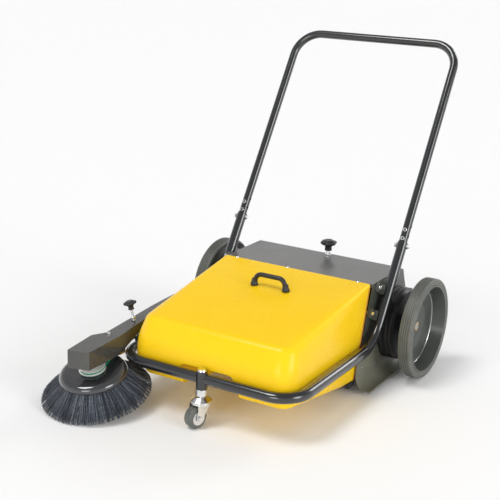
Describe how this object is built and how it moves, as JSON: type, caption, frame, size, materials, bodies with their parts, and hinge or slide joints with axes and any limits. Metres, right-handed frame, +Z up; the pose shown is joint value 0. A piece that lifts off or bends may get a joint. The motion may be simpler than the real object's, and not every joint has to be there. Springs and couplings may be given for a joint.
{
  "type": "walk behind sweeper",
  "caption": "Manual walk behind sweeper: large drive wheels, main brush under a cover, lift-out front hopper, one side brush, front caster and a leaning push handle.",
  "frame": {"origin": "on the floor, below the middle of the two large wheels' common axle line", "axes": "+Z up, the front of the machine (bumper, caster and side brush) towards -Y, the handle leaning towards +Y, +X along the axles to the gear-case side, away from the side brush"},
  "size_m": [0.833, 1.1934, 0.9587],
  "materials": {
    "plate_steel": "satin dark grey-green paint",
    "cover_steel": "semi-gloss metallic grey paint",
    "tube_paint": "gloss black powder coat",
    "hopper_plastic": "glossy yellow moulded plastic",
    "black_plastic": "moulded satin black",
    "black_rubber": "matt black rubber",
    "skirt_rubber": "worn grey-olive rubber",
    "tyre_rubber": "grey-black tyre with fine lines round it",
    "rim_plastic": "dark grey moulded wheel disc",
    "zinc": "bright zinc plated",
    "brass_zinc": "yellow passivated zinc",
    "bare_steel": "machined steel",
    "gear_plastic": "natural nylon",
    "white_plastic": "white moulded plastic",
    "belt_green": "green polyurethane round belt",
    "brush_fibre": "blue-black polypropylene bristles",
    "disc_plastic": "glossy black brush disc",
    "arm_steel": "satin grey folded sheet"
  },
  "bodies": {
    "chassis": {"side_plate_left": "plate_steel", "side_plate_right": "plate_steel", "top_cover": "cover_steel", "rear_panel": "plate_steel", "rear_flap": "black_rubber", "side_skirts": "skirt_rubber", "skirt_screws": "zinc", "frame_tube_left": "tube_paint", "frame_tube_right": "tube_paint", "caster_socket": "tube_paint", "tube_saddles": "plate_steel", "saddle_bolts": "zinc", "handle_tube": "tube_paint", "handle_bolts": "zinc", "stub_axles": "bare_steel", "axle_nuts": "brass_zinc", "gear_case": "black_plastic", "arm_stop_bracket": "plate_steel", "caster_stem": "zinc"},
    "right_wheel": {"tyre_right": "tyre_rubber", "wheel_rim_right": "rim_plastic", "wheel_bearings_right": "bare_steel", "drive_gear": "gear_plastic"},
    "left_wheel": {"tyre_left": "tyre_rubber", "wheel_rim_left": "rim_plastic", "wheel_bearings_left": "bare_steel", "belt_drive_pulley": "white_plastic"},
    "brush_swing": {"brush_carrier": "bare_steel", "brush_bearings": "bare_steel"},
    "main_brush": {"brush_shaft": "bare_steel", "brush_core": "white_plastic", "brush_bristles": "brush_fibre", "drive_pinion": "gear_plastic"},
    "brush_adjuster": {"brush_knob": "black_plastic", "brush_knob_screw": "zinc"},
    "hopper": {"hopper_shell": "hopper_plastic", "hopper_handle": "black_plastic", "hopper_screws": "zinc", "hopper_lip": "black_rubber"},
    "side_arm": {"side_arm": "arm_steel", "side_arm_bush": "bare_steel", "side_arm_bolt": "zinc", "side_spindle": "bare_steel", "belt_guide_bracket": "brass_zinc", "side_belt": "belt_green"},
    "inner_roller": {"guide_roller_inner": "white_plastic"},
    "outer_roller": {"guide_roller_outer": "white_plastic"},
    "side_adjuster": {"side_knob": "black_plastic", "side_knob_screw": "zinc"},
    "side_brush": {"side_pulley": "white_plastic", "side_brush_disc": "disc_plastic", "side_brush_bristles": "brush_fibre", "side_brush_bearing": "bare_steel"},
    "caster_swivel": {"caster_fork": "zinc", "caster_axle": "zinc"},
    "caster_wheel": {"caster_hub": "zinc", "caster_tyre": "tyre_rubber"}
  },
  "joints": [
    {"name": "right_wheel_spin", "type": "hinge", "parent": "chassis", "child": "right_wheel", "pos_m": [0.352, 0, 0.15], "axis": [1, 0, 0], "continuous": true},
    {"name": "left_wheel_spin", "type": "hinge", "parent": "chassis", "child": "left_wheel", "pos_m": [-0.352, 0, 0.15], "axis": [1, 0, 0], "continuous": true},
    {"name": "main_brush_lift", "type": "hinge", "parent": "chassis", "child": "brush_swing", "pos_m": [0, 0, 0.15], "axis": [-1, 0, 0], "range_deg": [0, 2.2]},
    {"name": "main_brush_spin", "type": "hinge", "parent": "brush_swing", "child": "main_brush", "pos_m": [0, -0.07, 0.11559], "axis": [1, 0, 0], "continuous": true},
    {"name": "main_brush_knob_turn", "type": "hinge", "parent": "chassis", "child": "brush_adjuster", "pos_m": [0.005, 0.041, 0.32], "axis": [0, 0, -1], "range_deg": [0, 440]},
    {"name": "hopper_lift", "type": "slide", "parent": "chassis", "child": "hopper", "axis": [0, 0, 1], "range_m": [0, 0.28]},
    {"name": "side_arm_lift", "type": "hinge", "parent": "chassis", "child": "side_arm", "pos_m": [-0.29, 0, 0.15], "axis": [-1, 0, 0], "range_deg": [0, 0.6]},
    {"name": "side_knob_turn", "type": "hinge", "parent": "side_arm", "child": "side_adjuster", "pos_m": [-0.301, -0.5525, 0.2], "axis": [0.2071, 0.0872, -0.9744], "range_deg": [0, 1662]},
    {"name": "side_brush_spin", "type": "hinge", "parent": "side_arm", "child": "side_brush", "pos_m": [-0.308, -0.711, 0.0367], "axis": [0, -0.2334, 0.9724], "continuous": true},
    {"name": "inner_roller_spin", "type": "hinge", "parent": "side_arm", "child": "inner_roller", "pos_m": [-0.298, -0.622, 0.133], "axis": [1, 0, 0], "continuous": true},
    {"name": "outer_roller_spin", "type": "hinge", "parent": "side_arm", "child": "outer_roller", "pos_m": [-0.314, -0.622, 0.133], "axis": [1, 0, 0], "continuous": true},
    {"name": "caster_swivel_turn", "type": "hinge", "parent": "chassis", "child": "caster_swivel", "pos_m": [0, -0.659, 0.07], "axis": [0, 0, 1], "continuous": true},
    {"name": "caster_wheel_spin", "type": "hinge", "parent": "caster_swivel", "child": "caster_wheel", "pos_m": [-0.00587, -0.67707, 0.03], "axis": [0.9511, -0.309, 0], "continuous": true}
  ],
  "couplings": [
    {"joint": "main_brush_spin", "follows": "right_wheel_spin", "ratio": -2.25},
    {"joint": "main_brush_knob_turn", "follows": "main_brush_lift", "ratio": 200},
    {"joint": "side_knob_turn", "follows": "side_arm_lift", "ratio": 2770},
    {"joint": "side_brush_spin", "follows": "left_wheel_spin", "ratio": 1.125}
  ]
}
